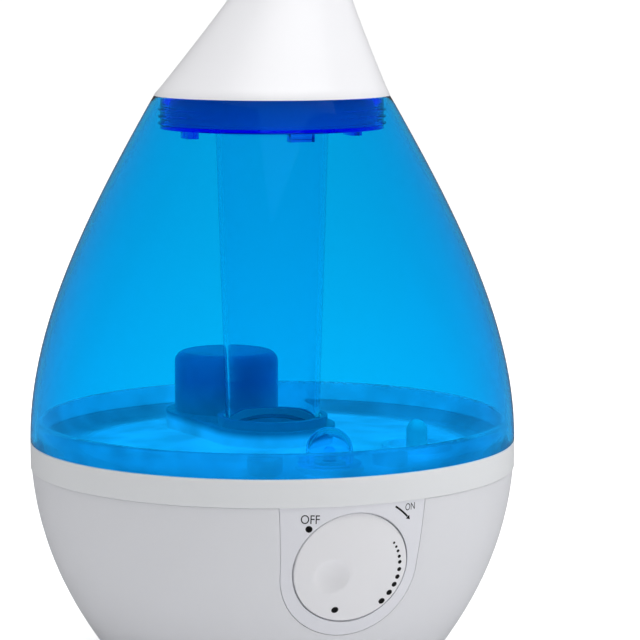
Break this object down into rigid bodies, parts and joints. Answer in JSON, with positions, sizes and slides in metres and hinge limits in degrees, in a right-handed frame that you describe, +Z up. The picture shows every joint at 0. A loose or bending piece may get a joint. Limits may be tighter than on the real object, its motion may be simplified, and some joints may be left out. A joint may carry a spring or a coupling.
{
  "type": "cool mist humidifier",
  "caption": "Drop-shaped ultrasonic cool mist humidifier: clear blue lift-off tank with inner chimney, white base with a dial, and a turning mist lid.",
  "frame": {"origin": "centre of the footprint, on the table the feet stand on", "axes": "+Z up, the control panel and its dial face -Y"},
  "size_m": [0.216, 0.216, 0.3294],
  "materials": {
    "lid_plastic": "smooth white ABS",
    "blue_clear": "clear blue styrene, polished",
    "dome_clear": "clear blue, polished",
    "base_plastic": "fine satin white ABS",
    "knob_plastic": "smooth white ABS",
    "cap_plastic": "blue moulded plastic",
    "valve_plastic": "white nylon",
    "silicone": "clear-white silicone",
    "black_rubber": "soft black",
    "spring_steel": "bright wire",
    "steel": "zinc-plated",
    "disc_ceramic": "silvered ceramic disc",
    "ring_brass": "turned",
    "heat_aluminium": "extruded",
    "foam": "closed-cell foam",
    "magnet": "sintered ferrite",
    "dark_plastic": "black moulded",
    "board_green": "printed circuit board",
    "copper_wound": "enamelled copper windings",
    "core_iron": "laminated steel",
    "led_clear": "clear epoxy",
    "wire_red": "vinyl insulation",
    "filter_foam": "open foam",
    "capacitor": "shrink sleeve"
  },
  "bodies": {
    "base": {"reservoir_tray": "base_plastic", "base_shell": "base_plastic", "control_panel": "base_plastic", "potentiometer": "dark_plastic", "transducer_disc": "disc_ceramic", "transducer_seal": "silicone", "transducer_ring": "ring_brass", "transducer_screws": "steel", "float_clip": "valve_plastic", "reed_switch": "dark_plastic", "fan_frame": "dark_plastic", "fan_motor": "copper_wound", "fan_screws": "steel", "driver_board": "board_green", "driver_coil": "copper_wound", "board_capacitors": "capacitor", "heat_sink": "heat_aluminium", "driver_transistor": "dark_plastic", "power_board": "board_green", "board_screws": "steel", "transformer_core": "core_iron", "transformer_coil": "copper_wound", "led_board": "board_green", "led_bulb": "led_clear", "disc_wire": "wire_red", "fan_wire": "wire_red", "knob_wire": "wire_red", "intake_grille": "base_plastic", "intake_filter": "filter_foam", "rubber_feet": "black_rubber", "base_screws": "steel", "cord_gland": "dark_plastic"},
    "tank": {"tank_shell": "blue_clear", "tank_collar": "blue_clear", "mist_chimney": "blue_clear", "tank_floor": "blue_clear", "chimney_seal": "silicone", "light_dome": "dome_clear", "tank_cap": "cap_plastic", "cap_seal": "silicone", "valve_spring": "spring_steel"},
    "valve": {"valve_stem": "valve_plastic", "valve_seal": "silicone"},
    "seal_ring": {"lid_seal_ring": "silicone"},
    "lid": {"mist_lid": "lid_plastic", "mist_nozzle": "lid_plastic", "lid_drip_guide": "lid_plastic"},
    "knob": {"control_knob": "knob_plastic", "knob_shaft": "steel"},
    "float": {"float_ring": "foam", "float_magnet": "magnet"},
    "fan": {"fan_impeller": "dark_plastic", "fan_shaft": "steel"}
  },
  "joints": [
    {"name": "tank_lift", "type": "slide", "parent": "base", "child": "tank", "axis": [0, 0, 1], "range_m": [0, 0.06]},
    {"name": "valve_push", "type": "slide", "parent": "tank", "child": "valve", "axis": [0, 0, 1], "range_m": [-0.006, 0], "deforming": ["valve_spring"]},
    {"name": "lid_lift", "type": "slide", "parent": "tank", "child": "seal_ring", "axis": [0, 0, 1], "range_m": [0, 0.03]},
    {"name": "lid_turn", "type": "hinge", "parent": "seal_ring", "child": "lid", "pos_m": [0, 0, 0.2515], "axis": [0, 0, 1], "continuous": true},
    {"name": "knob_turn", "type": "hinge", "parent": "base", "child": "knob", "pos_m": [0, -0.10247, 0.0587], "axis": [0, -0.9659, -0.2588], "range_deg": [-30, 250]},
    {"name": "float_rise", "type": "slide", "parent": "base", "child": "float", "axis": [0, 0, 1], "range_m": [0, 0.006]},
    {"name": "fan_spin", "type": "hinge", "parent": "base", "child": "fan", "pos_m": [-0.006, 0.048, 0.06], "axis": [0, 0, 1], "continuous": true}
  ],
  "couplings": [
    {"joint": "valve_push", "follows": "tank_lift", "ratio": -0.1}
  ]
}
